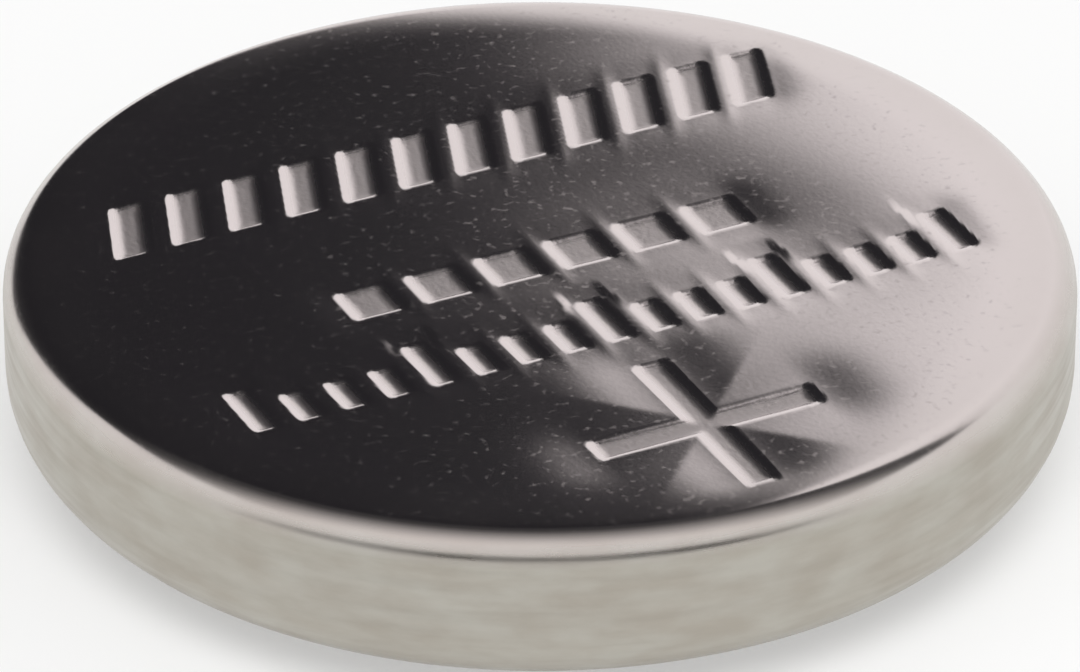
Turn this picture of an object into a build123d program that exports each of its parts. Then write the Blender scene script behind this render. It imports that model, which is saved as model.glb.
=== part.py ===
"""Lithium coin cell, 12.5 mm across and 2.5 mm high, built as it is assembled.

It lies on its negative cap: the origin is the middle of the cap's contact face, +Z points out of
the positive face, and +X runs along the stamped rows. Six pieces are drawn as a half section
(radius, height) and revolved about Z, and the seventh is a flat disc with holes. Sizes are in
millimetres.
"""
from build123d import *
import os
from math import cos, radians, sin, sqrt, tan

# ---- overall sizes
cell_diameter = 12.5
cell_height = 2.5

# ---- positive can: one deep-drawn cup of steel sheet, its rim curled inwards
can_sheet = 0.25
can_bend = 0.10          # inside radius of the corner between face and wall
curl_angle = 70.0        # how far the rim is turned in, in degrees
cap_stand = 0.38         # from the cap's contact face up to the level a full curl would reach

# ---- negative cap: one pressed dish of steel sheet
cap_sheet = 0.25
cap_flange = 0.50        # flat of the flange, from the riser's root bend to the middle of the curl
cap_edge_bend = 0.15     # inside radius round the contact face
cap_root_bend = 0.10     # outside radius where the riser meets the flange
cap_shoulder_bend = 0.10  # inside radius where the flange turns up into the rim

# ---- gasket: one moulded ring with a U section, which the cap's rim stands in
gasket_wall = 0.25
gasket_foot = 0.25
gasket_leg = 0.25
gasket_leg_gap = 0.31    # left under the inner leg, above the cap's flange
gasket_tongue = 0.25     # how far the ring shows inwards past the middle of the curl

# ---- what is stacked inside, from the cap upwards
lithium_thickness = 0.55
lithium_inset = 0.50     # from the flat of the cap's recess in to the lithium
separator_sheet = 0.20
separator_wall = 0.55    # height of the turned-up edge above its floor
separator_clearance = 0.10
pellet_clearance = 0.05
collector_thickness = 0.15
collector_hole = 0.70
collector_pitch = 1.20
collector_margin = 0.25
collector_first_ring = 6  # holes in the innermost ring; each ring outwards has as many more

# ---- stampings in the positive face: a plus sign, and ticks, squares and bars in rows above it
stamp_depth = 0.05
stamp_margin = 0.50      # kept free between the ends of the rows and the edge of the flat face
plus_arm = 2.7
plus_stroke = 0.28
plus_inset = 0.35        # from the edge of the flat face to the foot of the plus
tick_gap = 0.75          # from the plus up to the feet of the ticks
tick_pitch = 0.56
tick_stroke = 0.18
tick_height = 0.80
tick_short = 0.50
tick_group = 4           # every fourth tick is a long one
square_gap = 0.89        # from the long ticks up to the squares
square_count = 6         # even, so that the middle of the face stays flat
square_pitch = 0.90
square_side = 0.52
bar_gap = 1.94           # from the squares up to the bars
bar_pitch = 0.74
bar_height = 1.0
bar_stroke = 0.34
bar_slant = 20.0

# ---- levels and radii that follow
can_radius = cell_diameter / 2
can_bore = can_radius - can_sheet
can_corner = can_bend + can_sheet
roof = cell_height - can_sheet
face_flat = can_radius - can_corner
corner_z = cell_height - can_corner

cap_shoulder = cap_shoulder_bend + cap_sheet
gasket_curl = cap_shoulder + gasket_wall
can_curl = gasket_curl + can_sheet
curl_x = can_radius - can_curl
curl_z = cap_stand + can_curl

flange_under = curl_z - cap_shoulder
flange_top = flange_under + cap_sheet
rim_radius = curl_x + cap_shoulder
rim_bore = rim_radius - cap_sheet
rim_end = roof - gasket_foot

cap_face_radius = curl_x - cap_flange - cap_root_bend
cap_edge = cap_edge_bend + cap_sheet
recess_flat = cap_face_radius - cap_edge
recess_radius = cap_face_radius - cap_sheet

lithium_radius = recess_flat - lithium_inset
lithium_top = cap_sheet + lithium_thickness
separator_radius = recess_radius - separator_clearance
separator_floor = lithium_top + separator_sheet
pellet_radius = separator_radius - separator_sheet - pellet_clearance
pellet_top = roof - collector_thickness

plus_y = plus_inset + plus_arm / 2 - face_flat
tick_foot = plus_y + plus_arm / 2 + tick_gap
square_y = tick_foot + tick_height + square_gap + square_side / 2
bar_y = square_y + square_side / 2 + bar_gap + bar_height / 2
bar_lean = bar_height * tan(radians(bar_slant))


def turned(*outline):
    """One solid of revolution about Z from the edges of its closed half section."""
    with BuildPart() as solid:
        with BuildSketch(Plane.XZ):
            with BuildLine():
                for edge in outline:
                    add(edge)
            make_face()
        revolve(axis=Axis.Z)
    return solid.part


def arc(x, z, radius, start, turn):
    """An arc of the half section about (x, z), angles in degrees from +X towards +Z."""
    return CenterArc((x, z), radius, start, turn)


def on_curl(radius, angle):
    """A point of the half section at that distance and angle from the middle of the curl."""
    return (curl_x + radius * cos(radians(angle)), curl_z + radius * sin(radians(angle)))


def disc(radius, bottom, top):
    """A flat round disc between two heights."""
    return turned(Polyline((0, bottom), (radius, bottom), (radius, top), (0, top), close=True))


def row_reach(middle, height, mark_width):
    """How far from the middle of a row its last mark's middle may stand on the flat face."""
    farthest = abs(middle) + height / 2
    return sqrt((face_flat - stamp_margin) ** 2 - farthest**2) - mark_width / 2


def stamped_shapes():
    """The outlines pressed into the positive face: a plus sign and three rows of plain marks."""
    bars = 1 + int(2 * row_reach(bar_y, bar_height, bar_stroke + bar_lean) / bar_pitch)
    ticks = int(row_reach(tick_foot + tick_height / 2, tick_height, tick_stroke) / tick_pitch)
    with BuildSketch(Plane.XY.offset(cell_height)) as marks:
        with Locations((0, plus_y)):
            Rectangle(plus_arm, plus_stroke)
            Rectangle(plus_stroke, plus_arm)
        with GridLocations(bar_pitch, bar_height, bars, 1):
            with Locations((0, bar_y)):
                Polygon(
                    (-(bar_stroke + bar_lean) / 2, -bar_height / 2),
                    ((bar_stroke - bar_lean) / 2, -bar_height / 2),
                    ((bar_stroke + bar_lean) / 2, bar_height / 2),
                    ((bar_lean - bar_stroke) / 2, bar_height / 2),
                )
        with GridLocations(square_pitch, square_side, square_count, 1):
            with Locations((0, square_y)):
                Rectangle(square_side, square_side)
        for i in range(-ticks, ticks + 1):
            height = tick_short if i % tick_group else tick_height
            with Locations((i * tick_pitch, tick_foot + height / 2)):
                Rectangle(tick_stroke, height)
    return marks.sketch


def positive_can():
    """Face, corner, wall and curled rim in one sheet, then the stampings."""
    cup = turned(
        Line((0, cell_height), (face_flat, cell_height)),
        arc(face_flat, corner_z, can_corner, 90, -90),
        Line((can_radius, corner_z), (can_radius, curl_z)),
        arc(curl_x, curl_z, can_curl, 0, -curl_angle),
        Line(on_curl(can_curl, -curl_angle), on_curl(gasket_curl, -curl_angle)),
        arc(curl_x, curl_z, gasket_curl, -curl_angle, curl_angle),
        Line((can_bore, curl_z), (can_bore, corner_z)),
        arc(face_flat, corner_z, can_bend, 0, 90),
        Line((face_flat, roof), (0, roof)),
        Line((0, roof), (0, cell_height)),
    )
    return cup - extrude(stamped_shapes(), amount=-stamp_depth)


def gasket():
    """U section: outer wall against the can, foot against its roof, inner leg inside the rim."""
    tongue_end = curl_x - gasket_tongue
    leg_end = flange_top + gasket_leg_gap
    leg_bore = rim_bore - gasket_leg
    return turned(
        Line((tongue_end, curl_z - gasket_curl), (curl_x, curl_z - gasket_curl)),
        arc(curl_x, curl_z, gasket_curl, -90, 90),
        Line((can_bore, curl_z), (can_bore, corner_z)),
        arc(face_flat, corner_z, can_bend, 0, 90),
        Line((face_flat, roof), (leg_bore, roof)),
        Line((leg_bore, roof), (leg_bore, leg_end)),
        Line((leg_bore, leg_end), (rim_bore, leg_end)),
        Line((rim_bore, leg_end), (rim_bore, rim_end)),
        Line((rim_bore, rim_end), (rim_radius, rim_end)),
        Line((rim_radius, rim_end), (rim_radius, curl_z)),
        arc(curl_x, curl_z, cap_shoulder, 0, -90),
        Line((curl_x, flange_under), (tongue_end, flange_under)),
        Line((tongue_end, flange_under), (tongue_end, curl_z - gasket_curl)),
    )


def negative_cap():
    """Contact face, riser, flange, shoulder and rim in one pressed sheet."""
    root_x = cap_face_radius + cap_root_bend
    root_z = flange_under - cap_root_bend
    return turned(
        Line((0, 0), (recess_flat, 0)),
        arc(recess_flat, cap_edge, cap_edge, -90, 90),
        Line((cap_face_radius, cap_edge), (cap_face_radius, root_z)),
        arc(root_x, root_z, cap_root_bend, 180, -90),
        Line((root_x, flange_under), (curl_x, flange_under)),
        arc(curl_x, curl_z, cap_shoulder, -90, 90),
        Line((rim_radius, curl_z), (rim_radius, rim_end)),
        Line((rim_radius, rim_end), (rim_bore, rim_end)),
        Line((rim_bore, rim_end), (rim_bore, curl_z)),
        arc(curl_x, curl_z, cap_shoulder_bend, 0, -90),
        Line((curl_x, flange_top), (root_x, flange_top)),
        arc(root_x, root_z, cap_root_bend + cap_sheet, 90, 90),
        Line((recess_radius, root_z), (recess_radius, cap_edge)),
        arc(recess_flat, cap_edge, cap_edge_bend, 0, -90),
        Line((recess_flat, cap_sheet), (0, cap_sheet)),
        Line((0, cap_sheet), (0, 0)),
    )


def separator():
    """A shallow cup of non-woven sheet round the foot of the pellet."""
    inside = separator_radius - separator_sheet
    lip = separator_floor + separator_wall
    return turned(
        Polyline(
            (0, lithium_top),
            (separator_radius, lithium_top),
            (separator_radius, lip),
            (inside, lip),
            (inside, separator_floor),
            (0, separator_floor),
            close=True,
        )
    )


def current_collector():
    """A thin disc between pellet and can, with rings of round holes."""
    rings = int((pellet_radius - collector_margin - collector_hole / 2) / collector_pitch)
    with BuildPart() as plate:
        with BuildSketch(Plane.XY.offset(pellet_top)):
            Circle(pellet_radius)
            Circle(collector_hole / 2, mode=Mode.SUBTRACT)
            for ring in range(1, rings + 1):
                with PolarLocations(ring * collector_pitch, collector_first_ring * ring):
                    Circle(collector_hole / 2, mode=Mode.SUBTRACT)
        extrude(amount=collector_thickness)
    return plate.part


pieces = {
    "positive_can": positive_can(),
    "current_collector": current_collector(),
    "cathode_pellet": disc(pellet_radius, separator_floor, pellet_top),
    "separator": separator(),
    "lithium_anode": disc(lithium_radius, cap_sheet, lithium_top),
    "gasket": gasket(),
    "negative_cap": negative_cap(),
}

os.makedirs("parts", exist_ok=True)
for name, shape in pieces.items():
    export_step(shape, f"parts/{name}.step")
    print(name, "volume", round(shape.volume, 3), "mm3")
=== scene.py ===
# %% [markdown]
# # A lithium coin cell
# The cell is a deep-drawn steel can, face up, closed from below by a stepped cap that stands in a
# moulded gasket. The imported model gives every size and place. This lesson adds what the model leaves
# plain: the dished stampings, the soft roll at the edge of the face, and the finish of each piece.

from math import cos, pi, radians, sin

import bpy
import numpy as np
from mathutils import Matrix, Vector


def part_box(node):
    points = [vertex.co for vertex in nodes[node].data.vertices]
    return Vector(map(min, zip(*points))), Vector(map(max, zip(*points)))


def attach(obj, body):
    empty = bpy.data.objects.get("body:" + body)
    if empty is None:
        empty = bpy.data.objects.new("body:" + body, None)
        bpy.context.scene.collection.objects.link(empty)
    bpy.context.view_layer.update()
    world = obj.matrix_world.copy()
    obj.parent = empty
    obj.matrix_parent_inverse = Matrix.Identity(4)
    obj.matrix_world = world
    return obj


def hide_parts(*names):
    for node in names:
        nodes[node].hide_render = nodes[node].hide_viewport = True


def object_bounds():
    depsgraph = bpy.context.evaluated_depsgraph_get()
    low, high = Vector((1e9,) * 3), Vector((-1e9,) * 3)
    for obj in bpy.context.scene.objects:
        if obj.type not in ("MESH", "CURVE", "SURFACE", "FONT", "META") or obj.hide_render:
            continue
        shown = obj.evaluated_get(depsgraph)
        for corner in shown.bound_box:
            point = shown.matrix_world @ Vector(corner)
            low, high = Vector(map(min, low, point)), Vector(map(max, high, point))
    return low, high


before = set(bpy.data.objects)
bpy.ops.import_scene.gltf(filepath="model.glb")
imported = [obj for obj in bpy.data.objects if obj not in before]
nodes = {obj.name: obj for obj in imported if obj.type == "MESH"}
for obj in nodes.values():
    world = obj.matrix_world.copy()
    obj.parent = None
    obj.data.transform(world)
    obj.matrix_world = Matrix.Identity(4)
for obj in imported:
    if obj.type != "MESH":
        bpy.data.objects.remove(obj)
cad_box = [[float(v) for v in corner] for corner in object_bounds()]
MM = 0.001

can_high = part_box("positive_can")[1]
cap_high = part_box("negative_cap")[1]
gasket_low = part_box("gasket")[0]
can_radius = can_high[0] / MM
cell_top = can_high[2] / MM
rim_radius = cap_high[0] / MM
rim_end = cap_high[2] / MM
print("can radius", round(can_radius, 3), "top", round(cell_top, 3), "cap rim", round(rim_radius, 3))

# %% [markdown]
# ## The sheet and its bends
# A drawn shell is one thickness of sheet all the way round, so a few numbers give its whole half
# section. The thicknesses and bends are the model's own, and the levels are worked out from the
# boxes of its pieces, so that each surface lies where the solid's does.

# %% Sizes of the sheets and bends, in millimetres
can_sheet = 0.25
can_bend = 0.10
cap_sheet = 0.25
cap_flange = 0.50
cap_edge_bend = 0.15
cap_root_bend = 0.10
cap_shoulder_bend = 0.10
curl_angle = 70.0
gasket_leg = 0.25
gasket_leg_gap = 0.31
gasket_tongue = 0.25

roof = cell_top - can_sheet
can_bore = can_radius - can_sheet
can_corner = can_bend + can_sheet
face_flat = can_radius - can_corner
inner_bend_z = cell_top - can_corner
gasket_wall = can_bore - rim_radius
cap_shoulder = cap_shoulder_bend + cap_sheet
gasket_curl = cap_shoulder + gasket_wall
can_curl = gasket_curl + can_sheet
curl_x = can_radius - can_curl
curl_z = gasket_low[2] / MM + gasket_curl
flange_under = curl_z - cap_shoulder
flange_top = flange_under + cap_sheet
rim_bore = rim_radius - cap_sheet
cap_face_radius = curl_x - cap_flange - cap_root_bend
cap_edge = cap_edge_bend + cap_sheet
print("middle of the curl", round(curl_x, 3), round(curl_z, 3))


# %% [markdown]
# ## Profiles
# A round piece can be modelled by spinning a curve, by a screw modifier, or by working out its rings.
# Rings worked out from a half section keep the bends as true arcs and close the poles exactly. Every
# profile runs clockwise in (radius, height), which keeps the outside on its left.

# %% Arcs and revolved rings
sharp_bend = radians(55)


def bend(x, z, radius, start, end, steps=8):
    """Points of an arc: the middle plus radius times the cosine and sine of angles in even steps."""
    angle = np.radians(np.linspace(start, end, steps + 1))
    return np.column_stack((x + radius * np.cos(angle), z + radius * np.sin(angle)))


def join(*stretches):
    """One profile from single points and arcs, in order."""
    return np.vstack([np.atleast_2d(np.asarray(s, dtype=float)) for s in stretches])


def rings(profile, angle):
    """A point for each profile point and angle: (r cos a, r sin a, z), ring after ring."""
    r = profile[:, :1]
    z = np.broadcast_to(profile[:, 1:], (len(profile), len(angle)))
    return np.stack((r * np.cos(angle), r * np.sin(angle), z), axis=-1).reshape(-1, 3)


def strips(upper, lower):
    """Quads between two closed loops of vertex numbers, facing the profile's left."""
    next_lower = np.roll(lower, -1, axis=-1)
    next_upper = np.roll(upper, -1, axis=-1)
    return np.stack((upper, lower, next_lower, next_upper), axis=-1).reshape(-1, 4)


def fan(loop, pole, opening=False):
    """Triangles from a closed loop to one pole; opening is for the pole a profile starts from."""
    after = np.roll(loop, -1)
    middle = np.full_like(loop, pole)
    order = (middle, loop, after) if opening else (loop, middle, after)
    return np.stack(order, axis=-1)


def build(name, points, quads, triangles, marks=None):
    """A smooth mesh object from millimetre points, with optional values held on its points."""
    mesh = bpy.data.meshes.new(name)
    faces = quads.tolist() + [t for group in triangles for t in group.tolist()]
    mesh.from_pydata((points * MM).tolist(), [], faces)
    for key, values in (marks or {}).items():
        mesh.attributes.new(key, "FLOAT", "POINT").data.foreach_set("value", values.astype(np.float32))
    mesh.shade_smooth()
    mesh.set_sharp_from_angle(angle=sharp_bend)
    piece = bpy.data.objects.new(name, mesh)
    bpy.context.scene.collection.objects.link(piece)
    mesh.calc_loop_triangles()
    print(name, "points", len(points), "triangles", len(mesh.loop_triangles))
    return piece


def revolve(name, profile, around=512, closed=False):
    """A solid of revolution: rings of the profile, joined end to end, or closed at two poles."""
    angle = np.linspace(0, 2 * pi, around, endpoint=False)
    if closed:
        index = np.arange(len(profile) * around).reshape(-1, around)
        return build(name, rings(profile, angle), strips(index, np.roll(index, -1, axis=0)), [])
    inner = profile[1:-1]
    index = np.arange(len(inner) * around).reshape(-1, around)
    ends = np.array([[0, 0, profile[0, 1]], [0, 0, profile[-1, 1]]])
    points = np.vstack((rings(inner, angle), ends))
    caps = [fan(index[0], index.size, opening=True), fan(index[-1], index.size + 1)]
    return build(name, points, strips(index[:-1], index[1:]), caps)


# %% [markdown]
# ## Where the face is stamped
# The real face carries a plus sign, which shows its polarity, and rows of lettering. The plus stays,
# and plain bars, squares and ticks take the place of the rows. A signed distance, negative inside a
# mark, makes soft edges easy: the punch's depth and the sheet it drags down with it are both
# functions of that one number.

# %% Signed distances of the marks
stamp_depth = 0.05
stamp_margin = 0.50
plus_arm = 2.7
plus_stroke = 0.28
plus_inset = 0.35
tick_gap = 0.75
tick_pitch = 0.56
tick_stroke = 0.18
tick_height = 0.80
tick_short = 0.50
tick_group = 4
square_gap = 0.89
square_count = 6
square_pitch = 0.90
square_side = 0.52
bar_gap = 1.94
bar_pitch = 0.74
bar_height = 1.0
bar_stroke = 0.34
bar_slope = np.tan(radians(20.0))

plus_y = plus_inset + plus_arm / 2 - face_flat
tick_foot = plus_y + plus_arm / 2 + tick_gap
square_y = tick_foot + tick_height + square_gap + square_side / 2
bar_y = square_y + square_side / 2 + bar_gap + bar_height / 2


def row_reach(middle, height, width):
    """Half the chord of the marked circle at the row's farthest edge, less half a mark."""
    return np.sqrt((face_flat - stamp_margin) ** 2 - (abs(middle) + height / 2) ** 2) - width / 2


bar_count = 1 + int(2 * row_reach(bar_y, bar_height, bar_stroke + bar_height * bar_slope) / bar_pitch)
tick_side = int(row_reach(tick_foot + tick_height / 2, tick_height, tick_stroke) / tick_pitch)


def slab(x, y, width, height):
    """Distance to a rectangle: the longer of its two overshoots inside, their length outside."""
    dx = np.abs(x) - width / 2
    dy = np.abs(y) - height / 2
    return np.hypot(np.maximum(dx, 0), np.maximum(dy, 0)) + np.minimum(np.maximum(dx, dy), 0)


def nearest(x, pitch, count):
    """Number of the nearest mark of a centred row, and the distance from its middle."""
    half = (count - 1) / 2
    number = np.clip(np.round(x / pitch + half), 0, count - 1) - half
    return number, x - number * pitch


def plus_distance(x, y):
    """The smaller of the distances to the two arms of the plus."""
    level = slab(x, y - plus_y, plus_arm, plus_stroke)
    upright = slab(x, y - plus_y, plus_stroke, plus_arm)
    return np.minimum(level, upright)


def row_distance(x, y):
    """The smallest of the distances to the bars, the squares and the ticks."""
    lean = (y - bar_y) * bar_slope
    bars = slab(nearest(x - lean, bar_pitch, bar_count)[1], y - bar_y, bar_stroke, bar_height)
    squares = slab(nearest(x, square_pitch, square_count)[1], y - square_y, square_side, square_side)
    number, along = nearest(x, tick_pitch, 2 * tick_side + 1)
    height = np.where(np.mod(number, tick_group) == 0, tick_height, tick_short)
    ticks = slab(along, y - tick_foot - height / 2, tick_stroke, height)
    return np.minimum.reduce([bars, squares, ticks])


print("bars", bar_count, "squares", square_count, "ticks", 2 * tick_side + 1)

# %% [markdown]
# ## The relief of the face
# Four things shape it, besides the punch marks. The sheet dips a little round each mark. It is never
# quite flat, so slow waves make a straight reflection wander. A broader lean along the grain of the
# sheet bends that reflection across the middle. And the sheet rolls down before the tight bend. The
# waves and the lean are chosen for the reflection they give. All four are heights, added up.

# %% Height of the face
edge_soft = 0.075
row_dish = 0.006
row_dip_reach = 0.34
plus_dish = 0.013
plus_dip_reach = 0.62
sheet_grain = radians(-26.5)
lean_depth = 0.016
lean_wave = 2.2
lean_width = 2.2
stamp_fade_start = 5.4
wave_fade_start = 2.4
roll_start = 5.05
roll_drop = 0.026
# depth, turns along x and y in radians to the millimetre, and start of each wave
waves = [(0.0018, 0.9, 0.35, 0.4), (0.0014, -0.5, 1.1, 2.1), (0.0009, 1.7, 1.2, 4.0)]


def ease(t):
    """A step from 0 to 1 with level ends: 3 t squared less 2 t cubed."""
    t = np.clip(t, 0, 1)
    return t * t * (3 - 2 * t)


def roll(r):
    """Drop towards the edge: the cube of the way from where it starts to the face's edge."""
    return roll_drop * np.clip((r - roll_start) / (face_flat - roll_start), 0, None) ** 3


def stamped(x, y):
    """How far the punch reaches at a point, from 0 outside a mark to 1 on its floor."""
    return ease(0.5 - np.minimum(plus_distance(x, y), row_distance(x, y)) / (2 * edge_soft))


def hollow(distance, depth, reach):
    """The dip round a mark: its depth times e to the minus square of distance over reach."""
    return depth * np.exp(-((np.maximum(distance, 0) / reach) ** 2))


def leaning(x, y):
    """A lean across the middle: one plus a sine along it, under a bell curve across it."""
    along = x * cos(sheet_grain) + y * sin(sheet_grain)
    across = y * cos(sheet_grain) - x * sin(sheet_grain)
    return lean_depth * (1 + np.sin(along / lean_wave)) * np.exp(-((across / lean_width) ** 2))


def face_height(x, y):
    """Level of the face less the punch marks, their dips, the lean, the slow waves and the roll."""
    row_dips = hollow(row_distance(x, y), row_dish, row_dip_reach)
    plus_dips = hollow(plus_distance(x, y), plus_dish, plus_dip_reach)
    dish = row_dips + plus_dips
    r = np.hypot(x, y)
    near_edge = 1 - ease((r - stamp_fade_start) / (face_flat - stamp_fade_start))
    inside = 1 - ease((r - wave_fade_start) / (face_flat - wave_fade_start))
    slow = sum(a * (1 + np.sin(fx * x + fy * y + p)) for a, fx, fy, p in waves)
    punch = (stamp_depth - row_dish) * stamped(x, y)
    return cell_top - (punch + dish) * near_edge - (slow + leaning(x, y)) * inside - roll(r)


# %% [markdown]
# ## The can
# A disc of rings crowds its points at the middle and starves the rim. A square grid pressed into a
# circle spreads them evenly, so the small stampings are as crisp at the edge as at the centre.
# Its outermost points then carry on as the rings of the corner, the wall, the curl and the inside.

# %% Face grid, wall and curl as one closed shell
face_steps = 250
corner_steps = 8
edge_wear = 0.15
wall_margin = 0.02


def pressed_square(steps):
    """x = u sqrt(1 - v v / 2) and y = v sqrt(1 - u u / 2), which puts a square's edge on a circle."""
    line = np.linspace(-1, 1, steps + 1)
    u, v = np.meshgrid(line, line)
    return face_flat * u * np.sqrt(1 - v * v / 2), face_flat * v * np.sqrt(1 - u * u / 2)


def can_profile():
    """The half section from the edge of the face, round the outside and back along the inside."""
    slope = np.degrees(np.arctan(3 * roll_drop / (face_flat - roll_start)))
    radius = can_corner / (1 - sin(radians(slope)))
    middle_z = cell_top - roll_drop - radius * cos(radians(slope))
    corner = bend(can_radius - radius, middle_z, radius, 90 - slope, 0, corner_steps)
    foot = corner[-1, 1]
    return join(
        corner[1:],
        (can_radius, foot - wall_margin),
        (can_radius, (foot + curl_z) / 2),
        (can_radius, curl_z + wall_margin),
        bend(curl_x, curl_z, can_curl, 0, -curl_angle, 7),
        bend(curl_x, curl_z, gasket_curl, -curl_angle, 0, 4),
        (can_bore, inner_bend_z),
        bend(face_flat, inner_bend_z, can_bend, 0, 90, 3)[1:],
        (face_flat / 2, roof),
    )


def make_can():
    """The grid's edge loop is the first ring; every ring below uses the same directions."""
    x, y = pressed_square(face_steps)
    grid = np.arange(x.size).reshape(x.shape)
    loop = np.concatenate((grid[0, :-1], grid[:-1, -1], grid[-1, :0:-1], grid[:0:-1, 0]))
    quads = np.stack((grid[:-1, :-1], grid[:-1, 1:], grid[1:, 1:], grid[1:, :-1]), axis=-1).reshape(-1, 4)
    face = np.column_stack((x.ravel(), y.ravel(), face_height(x, y).ravel()))
    angle = np.arctan2(y.ravel()[loop], x.ravel()[loop])
    profile = can_profile()
    below = rings(profile, angle)
    index = x.size + np.arange(len(below)).reshape(len(profile), -1)
    loops = np.vstack((loop, index))
    pole = np.array([[0, 0, roof]])
    points = np.vstack((face, below, pole))
    sheet = np.vstack((quads, strips(loops[:-1], loops[1:])))
    rest = np.zeros(len(below) + 1)
    marks = {"stamp": np.concatenate((stamped(x, y).ravel(), rest))}
    worn = edge_wear * ease((np.hypot(x, y) - roll_start) / (face_flat - roll_start))
    marks["polish"] = np.concatenate((1 - worn.ravel(), rest))
    corner = slice(x.size, x.size + len(loop) * corner_steps)
    marks["polish"][corner] = np.repeat((1 - edge_wear) * np.linspace(1, 0, corner_steps), len(loop))
    return build("can_shell", points, sheet, [fan(loops[-1], len(points) - 1)], marks)


can_shell = make_can()

# %% [markdown]
# ## The cap and the gasket
# Both are plain turned shapes, seen only when the cell is lifted. Their sections follow the model's,
# with far finer rings, so the stepped underside keeps smooth reflections.

# %% Cap and gasket
root_x = cap_face_radius + cap_root_bend
root_z = flange_under - cap_root_bend
flat = cap_face_radius - cap_edge

cap_shell = revolve("cap_shell", join(
    (0, cap_sheet),
    (flat / 2, cap_sheet),
    bend(flat, cap_edge, cap_edge_bend, -90, 0),
    bend(root_x, root_z, cap_root_bend + cap_sheet, 180, 90),
    (curl_x, flange_top),
    bend(curl_x, curl_z, cap_shoulder_bend, -90, 0)[1:],
    (rim_bore, rim_end),
    (rim_radius, rim_end),
    bend(curl_x, curl_z, cap_shoulder, 0, -90),
    bend(root_x, root_z, cap_root_bend, 90, 180),
    bend(flat, cap_edge, cap_edge, 0, -90),
    (flat * 0.97, 0),
    (flat / 2, 0),
    (0, 0),
))

tongue = curl_x - gasket_tongue
leg_bore = rim_bore - gasket_leg
leg_end = flange_top + gasket_leg_gap
gasket_ring = revolve("gasket_ring", join(
    (leg_bore, roof),
    (face_flat, roof),
    bend(face_flat, inner_bend_z, can_bend, 90, 0)[1:],
    bend(curl_x, curl_z, gasket_curl, 0, -90),
    (tongue, curl_z - gasket_curl),
    (tongue, flange_under),
    bend(curl_x, curl_z, cap_shoulder, -90, 0),
    (rim_radius, rim_end),
    (rim_bore, rim_end),
    (rim_bore, leg_end),
    (leg_bore, leg_end),
), closed=True)


# %% [markdown]
# ## Finishes
# Bare metal has no colour of its own to speak of: it is the room, tinted. So each metal here is a
# Principled shader at full metal, and its look is in the roughness and the bump. Patterns read
# Object coordinates, which never slide, and the stampings are found by a value held on the points.

# %% Shader helpers
def material(name, color, rough, metal):
    """A new material with constants on the Principled shader's own sockets."""
    mat = bpy.data.materials.new(name)
    mat.use_nodes = True
    shader = mat.node_tree.nodes["Principled BSDF"]
    shader.inputs["Base Color"].default_value = (*color, 1)
    shader.inputs["Roughness"].default_value = rough
    shader.inputs["Metallic"].default_value = metal
    return mat, shader


def noise(mat, scale, stretch=(1, 1, 1), detail=3.0, turn=0.0):
    """Noise on Object coordinates in metres, turned about Z; scale counts features to the metre."""
    tree = mat.node_tree
    place = tree.nodes.new("ShaderNodeTexCoord")
    mapping = tree.nodes.new("ShaderNodeMapping")
    mapping.inputs["Scale"].default_value = stretch
    mapping.inputs["Rotation"].default_value = (0, 0, turn)
    texture = tree.nodes.new("ShaderNodeTexNoise")
    texture.inputs["Scale"].default_value = scale
    texture.inputs["Detail"].default_value = detail
    tree.links.new(place.outputs["Object"], mapping.inputs["Vector"])
    tree.links.new(mapping.outputs["Vector"], texture.inputs["Vector"])
    return texture.outputs["Fac"]


def remap(mat, value, low, high, out_low, out_high):
    """The value carried from one range to another, and held at its ends."""
    node = mat.node_tree.nodes.new("ShaderNodeMapRange")
    for key, number in zip(("From Min", "From Max", "To Min", "To Max"), (low, high, out_low, out_high)):
        node.inputs[key].default_value = number
    mat.node_tree.links.new(value, node.inputs["Value"])
    return node.outputs["Result"]


def blend_numbers(mat, factor, a, b):
    """a where the factor is 0 and b where it is 1; each may be a number or a socket."""
    node = mat.node_tree.nodes.new("ShaderNodeMix")
    for socket, value in ((node.inputs[0], factor), (node.inputs[2], a), (node.inputs[3], b)):
        if isinstance(value, (int, float)):
            socket.default_value = value
        else:
            mat.node_tree.links.new(value, socket)
    return node.outputs[0]


def blend_colors(mat, factor, a, b):
    """The same for two colours."""
    node = mat.node_tree.nodes.new("ShaderNodeMix")
    node.data_type = "RGBA"
    mat.node_tree.links.new(factor, node.inputs[0])
    for socket, value in ((node.inputs[6], a), (node.inputs[7], b)):
        if isinstance(value, tuple):
            socket.default_value = (*value, 1)
        else:
            mat.node_tree.links.new(value, socket)
    return node.outputs[2]


def point_value(mat, name):
    """A number held on the mesh's points."""
    node = mat.node_tree.nodes.new("ShaderNodeAttribute")
    node.attribute_name = name
    return node.outputs["Fac"]


def bump(mat, shader, height, distance, strength=1.0, under=None):
    """Small relief, in metres, on the shader's normal; under is a coarser bump below it."""
    node = mat.node_tree.nodes.new("ShaderNodeBump")
    node.inputs["Strength"].default_value = strength
    node.inputs["Distance"].default_value = distance
    mat.node_tree.links.new(height, node.inputs["Height"])
    if under is not None:
        mat.node_tree.links.new(under, node.inputs["Normal"])
    mat.node_tree.links.new(node.outputs["Normal"], shader.inputs["Normal"])
    return node.outputs["Normal"]


# %% [markdown]
# ### Nickel-plated can
# The face is polished almost to a mirror, with fine specks where the plating is pitted. The wall was
# drawn through a die, which leaves it satin, faintly streaked along its length and mottled warm and
# greenish. The punch leaves the stampings matt. One material does it all, because it is one sheet.

# %% Can finish
FACE_TINT = (0.74, 0.67, 0.665)
WALL_WARM = (0.435, 0.402, 0.35)
WALL_COOL = (0.495, 0.475, 0.425)

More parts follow.
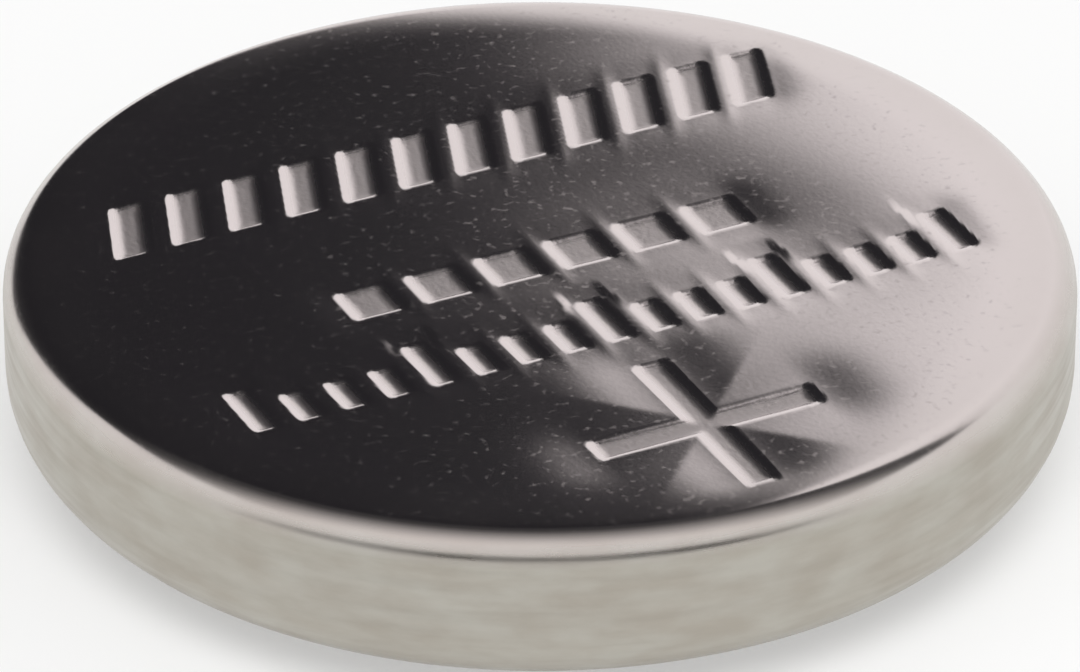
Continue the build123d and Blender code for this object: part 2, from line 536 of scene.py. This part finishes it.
# roughness
face_mirror = 0.09
face_pitted = 0.19
stamp_matt = 0.40
wall_smooth = 0.30
wall_satin = 0.44

# patterns: features to the metre, and how each is stretched
mottle_grain = 2100
mottle_stretch = (0.6, 0.6, 1.5)
streak_grain = 1500
streak_stretch = (0.35, 0.35, 7)
brush_grain = 5200
brush_stretch = (0.07, 1, 1)
pit_grain = 10000
fine_grain = 14000

# relief in metres, and the share of a pattern's relief that the polished face keeps
sheet_relief = 0.0000035
stamp_relief = 0.000005
relief_strength = 0.6
brush_share = 0.16
fine_share = 0.05


def can_finish():
    """Tint and roughness go from satin wall to polished face by polish, and to matt by stamp."""
    mat, shader = material("nickel_can", FACE_TINT, 0.1, 1.0)
    link = mat.node_tree.links.new
    polish = point_value(mat, "polish")
    stamp = point_value(mat, "stamp")
    mottle = remap(mat, noise(mat, mottle_grain, mottle_stretch, detail=6), 0.34, 0.66, 0, 1)
    streak = noise(mat, streak_grain, streak_stretch)
    brushed = noise(mat, brush_grain, brush_stretch, turn=-sheet_grain)
    fine = noise(mat, fine_grain, detail=2)
    wall_tint = blend_colors(mat, mottle, WALL_WARM, WALL_COOL)
    link(blend_colors(mat, polish, wall_tint, FACE_TINT), shader.inputs["Base Color"])
    pits = remap(mat, noise(mat, pit_grain, detail=1), 0.60, 0.82, 0, 1)
    face_rough = blend_numbers(mat, pits, face_mirror, face_pitted)
    wall_rough = remap(mat, streak, 0.35, 0.65, wall_smooth, wall_satin)
    sheet_rough = blend_numbers(mat, polish, wall_rough, face_rough)
    link(blend_numbers(mat, stamp, sheet_rough, stamp_matt), shader.inputs["Roughness"])
    face_lines = remap(mat, brushed, 0, 1, 0, brush_share)
    sheet_lines = blend_numbers(mat, polish, streak, face_lines)
    coarse = bump(mat, shader, sheet_lines, sheet_relief, relief_strength)
    stamp_grit = blend_numbers(mat, stamp, remap(mat, fine, 0, 1, 0, fine_share), fine)
    bump(mat, shader, stamp_grit, stamp_relief, relief_strength, coarse)
    return mat


def plain_metal(name, color, rough, grain, relief):
    """A metal with an even grain that changes its roughness and its relief together."""
    mat, shader = material(name, color, rough, 1.0)
    value = noise(mat, grain)
    uneven = remap(mat, value, 0.3, 0.7, rough - 0.06, rough + 0.08)
    mat.node_tree.links.new(uneven, shader.inputs["Roughness"])
    bump(mat, shader, value, relief, 0.5)
    return mat


def powder(name, dark, light, rough, grain, relief):
    """A matt finish whose colour wanders between two tones with its grain."""
    mat, shader = material(name, dark, rough, 0.0)
    value = remap(mat, noise(mat, grain, detail=5), 0.35, 0.65, 0, 1)
    mat.node_tree.links.new(blend_colors(mat, value, dark, light), shader.inputs["Base Color"])
    bump(mat, shader, value, relief, 0.7)
    return mat


finishes = {
    "positive_can": can_finish(),
    "negative_cap": plain_metal("nickel_cap", (0.64, 0.605, 0.57), 0.28, 3500, 0.000002),
    "gasket": powder("moulded_gasket", (0.66, 0.64, 0.57), (0.72, 0.70, 0.64), 0.42, 5000, 0.000002),
    "current_collector": plain_metal("collector_sheet", (0.50, 0.49, 0.48), 0.34, 4000, 0.000002),
    "cathode_pellet": powder(
        "pressed_powder", (0.012, 0.012, 0.013), (0.03, 0.029, 0.03), 0.8, 9000, 0.00001
    ),
    "separator": powder("felted_fibre", (0.78, 0.77, 0.74), (0.88, 0.87, 0.85), 0.9, 7000, 0.00001),
    "lithium_anode": plain_metal("soft_lithium", (0.58, 0.59, 0.62), 0.42, 2500, 0.000004),
}

new_pieces = {"positive_can": can_shell, "negative_cap": cap_shell, "gasket": gasket_ring}
for node, finish in finishes.items():
    piece = new_pieces.get(node, nodes[node])
    piece.data.materials.clear()
    piece.data.materials.append(finish)
    if node in new_pieces:
        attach(piece, "root")
        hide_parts(node)
print("finished", sorted(finishes))


# %% [markdown]
# ## The studio
# A mirror shows its room, so the room is built with care. A white sweep lies under the cell. Behind
# it, one large card goes from black on the left to white on the right through a soft edge, and
# that is what the polished face shows. A canopy overhead, which only reflections see, runs from black
# behind to white in front, for the shoulder and the stamped floors. A softbox in front lights the
# floor and casts the shadow, and reflections don't see it. A low dark flag in front draws the thin
# line under the shoulder. The camera never sees the cards.

# %% Cards, floor and lamps
camera_turn = radians(-26.5)
up_z = Vector((0, 0, 1))
ahead = Vector((-sin(camera_turn), cos(camera_turn), 0))
right = Vector((cos(camera_turn), sin(camera_turn), 0))
face_middle = Vector((0, 0, cell_top * MM))


def card(name, middle, across, up, width, height):
    """A rectangle round its middle, spanned by two directions, its points in place."""
    signs = ((-1, -1), (1, -1), (1, 1), (-1, 1))
    corners = [middle + across * (sx * width / 2) + up * (sy * height / 2) for sx, sy in signs]
    mesh = bpy.data.meshes.new(name)
    mesh.from_pydata([tuple(c) for c in corners], [], [(0, 1, 2, 3)])
    uv = mesh.uv_layers.new(name="place")
    uv.data.foreach_set("uv", [0, 0, 1, 0, 1, 1, 0, 1])
    piece = bpy.data.objects.new(name, mesh)
    bpy.context.scene.collection.objects.link(piece)
    return piece


def glowing(name, strength):
    """A material that only gives light, with its colour socket to be linked or set."""
    mat = bpy.data.materials.new(name)
    mat.use_nodes = True
    tree = mat.node_tree
    tree.nodes.clear()
    glow = tree.nodes.new("ShaderNodeEmission")
    glow.inputs["Strength"].default_value = strength
    out = tree.nodes.new("ShaderNodeOutputMaterial")
    tree.links.new(glow.outputs[0], out.inputs["Surface"])
    return mat, glow


def seen_rays(tree):
    """1 for rays from the camera or off a shiny or clear surface, and 0 for the rest."""
    path = tree.nodes.new("ShaderNodeLightPath")
    total = path.outputs["Is Camera Ray"]
    for key in ("Is Glossy Ray", "Is Transmission Ray"):
        add = tree.nodes.new("ShaderNodeMath")
        add.operation = "ADD"
        add.use_clamp = True
        tree.links.new(total, add.inputs[0])
        tree.links.new(path.outputs[key], add.inputs[1])
        total = add.outputs[0]
    return total


def graded(piece, name, tilt, edge, soft, dark, light):
    """Dark to light along the card's own map: x plus tilt times y, through a soft edge."""
    mat, glow = glowing(name, 1.0)
    tree = mat.node_tree
    uv = tree.nodes.new("ShaderNodeUVMap")
    uv.uv_map = "place"
    split = tree.nodes.new("ShaderNodeSeparateXYZ")
    along = tree.nodes.new("ShaderNodeMath")
    along.operation = "MULTIPLY_ADD"
    along.inputs[1].default_value = tilt
    ramp = tree.nodes.new("ShaderNodeValToRGB")
    ramp.color_ramp.interpolation = "EASE"
    for stop, place, color in zip(ramp.color_ramp.elements, (edge - soft, edge + soft), (dark, light)):
        stop.position = place
        stop.color = (*color, 1)
    tree.links.new(uv.outputs["UV"], split.inputs[0])
    tree.links.new(split.outputs["Y"], along.inputs[0])
    tree.links.new(split.outputs["X"], along.inputs[2])
    tree.links.new(along.outputs[0], ramp.inputs["Fac"])
    tree.links.new(ramp.outputs["Color"], glow.inputs["Color"])
    piece.data.materials.append(mat)
    piece.visible_camera = False


card_distance = 0.40
card_rise = radians(32)
card_width = 0.9
card_height = 0.46
card_tilt = -0.193
card_edge = 0.4214
card_soft = 0.0115
CARD_DARK = (0.022, 0.022, 0.025)
CARD_PALE = (0.96, 0.95, 0.95)

toward_card = ahead * cos(card_rise) + up_z * sin(card_rise)
card_up = up_z * cos(card_rise) - ahead * sin(card_rise)
card_middle = face_middle + toward_card * card_distance
backdrop = card("backdrop_card", card_middle, right, card_up, card_width, card_height)
graded(backdrop, "card_gradient", card_tilt, card_edge, card_soft, CARD_DARK, CARD_PALE)

canopy_length = 0.60
canopy_setback = 0.05
canopy_edge = 0.55
canopy_soft = 0.42
CANOPY_DARK = (0.05, 0.05, 0.052)
CANOPY_PALE = (1.0, 0.985, 0.97)

canopy_middle = face_middle + up_z * card_distance - ahead * canopy_setback
canopy = card("canopy", canopy_middle, -ahead, right, canopy_length, card_width)
graded(canopy, "canopy_gradient", 0.0, canopy_edge, canopy_soft, CANOPY_DARK, CANOPY_PALE)
canopy.visible_diffuse = False
canopy.visible_shadow = False

flag_width = 1.2
flag_height = 0.12
flag_middle = up_z * (flag_height / 2) - ahead * card_distance
flag = card("low_flag", flag_middle, right, up_z, flag_width, flag_height)
flag.data.materials.append(glowing("flag_black", 0.0)[0])
flag.visible_camera = False

# %% Floor and world
floor_size = 3.0
FLOOR_WHITE = (0.93, 0.93, 0.925)
floor_glow_share = 0.40
room_for_floor = 0.70
room_for_reflections = 1.0

floor_middle = Vector((0, 0, cad_box[0][2]))
floor = card("floor", floor_middle, Vector((1, 0, 0)), Vector((0, 1, 0)), floor_size, floor_size)
floor_paint = bpy.data.materials.new("white_sweep")
floor_paint.use_nodes = True
floor_tree = floor_paint.node_tree
floor_tree.nodes.clear()
matt = floor_tree.nodes.new("ShaderNodeBsdfDiffuse")
matt.inputs["Color"].default_value = (*FLOOR_WHITE, 1)
white = floor_tree.nodes.new("ShaderNodeEmission")
lift = floor_tree.nodes.new("ShaderNodeMixShader")
share = floor_tree.nodes.new("ShaderNodeMath")
share.operation = "MULTIPLY"
share.inputs[1].default_value = floor_glow_share
end = floor_tree.nodes.new("ShaderNodeOutputMaterial")
floor_tree.links.new(seen_rays(floor_tree), share.inputs[0])
floor_tree.links.new(share.outputs[0], lift.inputs["Fac"])
floor_tree.links.new(matt.outputs[0], lift.inputs[1])
floor_tree.links.new(white.outputs[0], lift.inputs[2])
floor_tree.links.new(lift.outputs[0], end.inputs["Surface"])
floor.data.materials.append(floor_paint)

world = bpy.data.worlds.new("studio")
bpy.context.scene.world = world
world.use_nodes = True
sky = world.node_tree.nodes["Background"]
room = world.node_tree.nodes.new("ShaderNodeMapRange")
room.inputs["To Min"].default_value = room_for_floor
room.inputs["To Max"].default_value = room_for_reflections
world.node_tree.links.new(seen_rays(world.node_tree), room.inputs["Value"])
world.node_tree.links.new(room.outputs["Result"], sky.inputs["Strength"])
sky.inputs["Color"].default_value = (1, 1, 1, 1)


def softbox(name, direction, distance, size, watts):
    """A square lamp that far from the face, turned to look at it."""
    lamp = bpy.data.lights.new(name, "AREA")
    lamp.shape = "SQUARE"
    lamp.size = size
    lamp.energy = watts
    holder = bpy.data.objects.new(name, lamp)
    holder.location = face_middle + direction.normalized() * distance
    holder.rotation_euler = (-direction).to_track_quat("-Z", "Y").to_euler()
    holder.visible_glossy = False
    bpy.context.scene.collection.objects.link(holder)
    return holder


lamp_rise = radians(60)
lamp_distance = 0.6
lamp_size = 0.40
lamp_watts = 1.95
toward_lamp = up_z * sin(lamp_rise) - ahead * cos(lamp_rise)
softbox("front_softbox", toward_lamp, lamp_distance, lamp_size, lamp_watts)

# %% [markdown]
# ## The camera
# A long lens close to the cell, about thirty degrees above it. The aim is a little below the middle
# of the face, so that the whole cell fills the picture without any lens shift.

# %% Camera
elevation = radians(30.75)
camera_distance = 0.100
lens_length = 286.7233
aim_below = 0.001001

toward_camera = up_z * sin(elevation) - ahead * cos(elevation)
camera_up = ahead * sin(elevation) + up_z * cos(elevation)
aim = face_middle - camera_up * aim_below

camera_data = bpy.data.cameras.new("camera")
camera_data.sensor_width = 36.0
camera_data.lens = lens_length
camera_data.clip_start = 0.005
camera_data.clip_end = 10.0
camera = bpy.data.objects.new("camera", camera_data)
camera.location = face_middle + toward_camera * camera_distance
camera.rotation_euler = (aim - camera.location).to_track_quat("-Z", "Y").to_euler()
bpy.context.scene.collection.objects.link(camera)
bpy.context.scene.camera = camera
bpy.context.scene.view_settings.view_transform = "Standard"
print("lens", round(camera_data.lens, 1), "mm")
